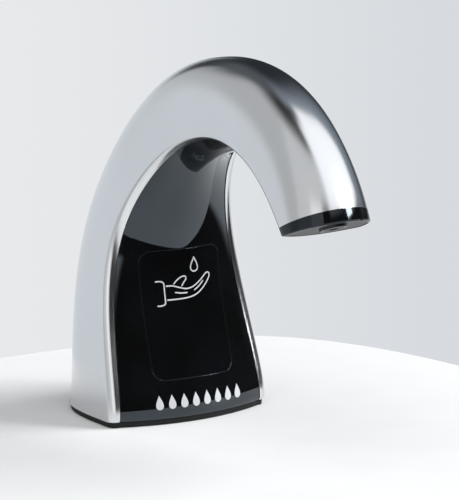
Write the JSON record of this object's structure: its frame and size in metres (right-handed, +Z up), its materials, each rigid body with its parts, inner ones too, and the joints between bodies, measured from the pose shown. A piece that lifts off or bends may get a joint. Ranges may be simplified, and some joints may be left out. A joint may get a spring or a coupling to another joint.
{
  "type": "deck-mounted hands-free soap spout",
  "caption": "Hands-free soap spout: a satin chromed arch with a gloss black sensor panel, standing on a counter over a threaded shank, washers and a wing nut.",
  "frame": {"origin": "on the counter's surface, on the shank's axis", "axes": "+Z up, out of the counter; the spout reaches towards -Y; +X across"},
  "size_m": [0.0784, 0.1643, 0.2294],
  "materials": {
    "satin_chrome": "satin",
    "gloss_black": "gloss",
    "window_black": "gloss",
    "cap_black": "gloss",
    "gasket_rubber": "matt",
    "cast_plate": "cast",
    "screw_steel": "satin",
    "shank_brass": "machined",
    "washer_rubber": "matt",
    "washer_steel": "zinc plated",
    "nut_plastic": "matt",
    "bushing_plastic": "matt",
    "connector_plastic": "matt",
    "socket_plastic": "matt",
    "tube_plastic": "translucent",
    "clip_plastic": "matt",
    "nozzle_plastic": "matt",
    "seal_rubber": "matt",
    "poppet_plastic": "matt",
    "retainer_plastic": "matt",
    "tip_rubber": "soft",
    "spring_steel": "bright",
    "bracket_plastic": "matt",
    "board_green": "solder mask",
    "chip_plastic": "matt",
    "led_lens": "clear",
    "plug_plastic": "matt",
    "eye_lens": "clear",
    "eye_dark": "gloss",
    "baffle_plastic": "matt",
    "cable_jacket": "matt"
  },
  "bodies": {
    "spout": {"arch_shell": "satin_chrome", "front_panel": "gloss_black", "ir_window": "window_black", "end_cap": "cap_black", "base_gasket": "gasket_rubber", "base_plate": "cast_plate", "base_screws": "screw_steel", "threaded_shank": "shank_brass", "flange_screws": "screw_steel", "shank_bushing": "bushing_plastic", "tube_connector": "connector_plastic", "cable_socket": "socket_plastic", "soap_tube": "tube_plastic", "tube_clips": "clip_plastic", "nozzle_body": "nozzle_plastic", "valve_seal": "seal_rubber", "spring_retainer": "retainer_plastic", "nozzle_tip": "tip_rubber", "valve_spring": "spring_steel", "sensor_bracket": "bracket_plastic", "sensor_board": "board_green", "board_screws": "screw_steel", "board_chips": "chip_plastic", "status_led": "led_lens", "board_connector": "plug_plastic", "ir_emitter": "eye_lens", "ir_receiver": "eye_dark", "light_baffle": "baffle_plastic", "cable_plug": "plug_plastic", "sensor_cable": "cable_jacket"},
    "clamp_ring": {"rubber_washer": "washer_rubber", "clamp_washer": "washer_steel"},
    "wing_nut": {"mounting_nut": "nut_plastic"},
    "valve": {"valve_poppet": "poppet_plastic"}
  },
  "joints": [
    {"name": "clamp_slide", "type": "slide", "parent": "spout", "child": "clamp_ring", "axis": [0, 0, 1], "range_m": [-0.0151, 0.0106]},
    {"name": "nut_spin", "type": "hinge", "parent": "clamp_ring", "child": "wing_nut", "pos_m": [0, 0, -0.0255], "axis": [0, 0, 1], "range_deg": [-2700, 1890]},
    {"name": "valve_lift", "type": "slide", "parent": "spout", "child": "valve", "axis": [0, -0.3584, -0.9336], "range_m": [0, 0.0015], "stiffness_N_per_m": 60, "springref_m": -0.001, "deforming": ["valve_spring"]}
  ],
  "couplings": [
    {"joint": "clamp_slide", "follows": "nut_spin", "m_per_rad": 0.00031831}
  ]
}
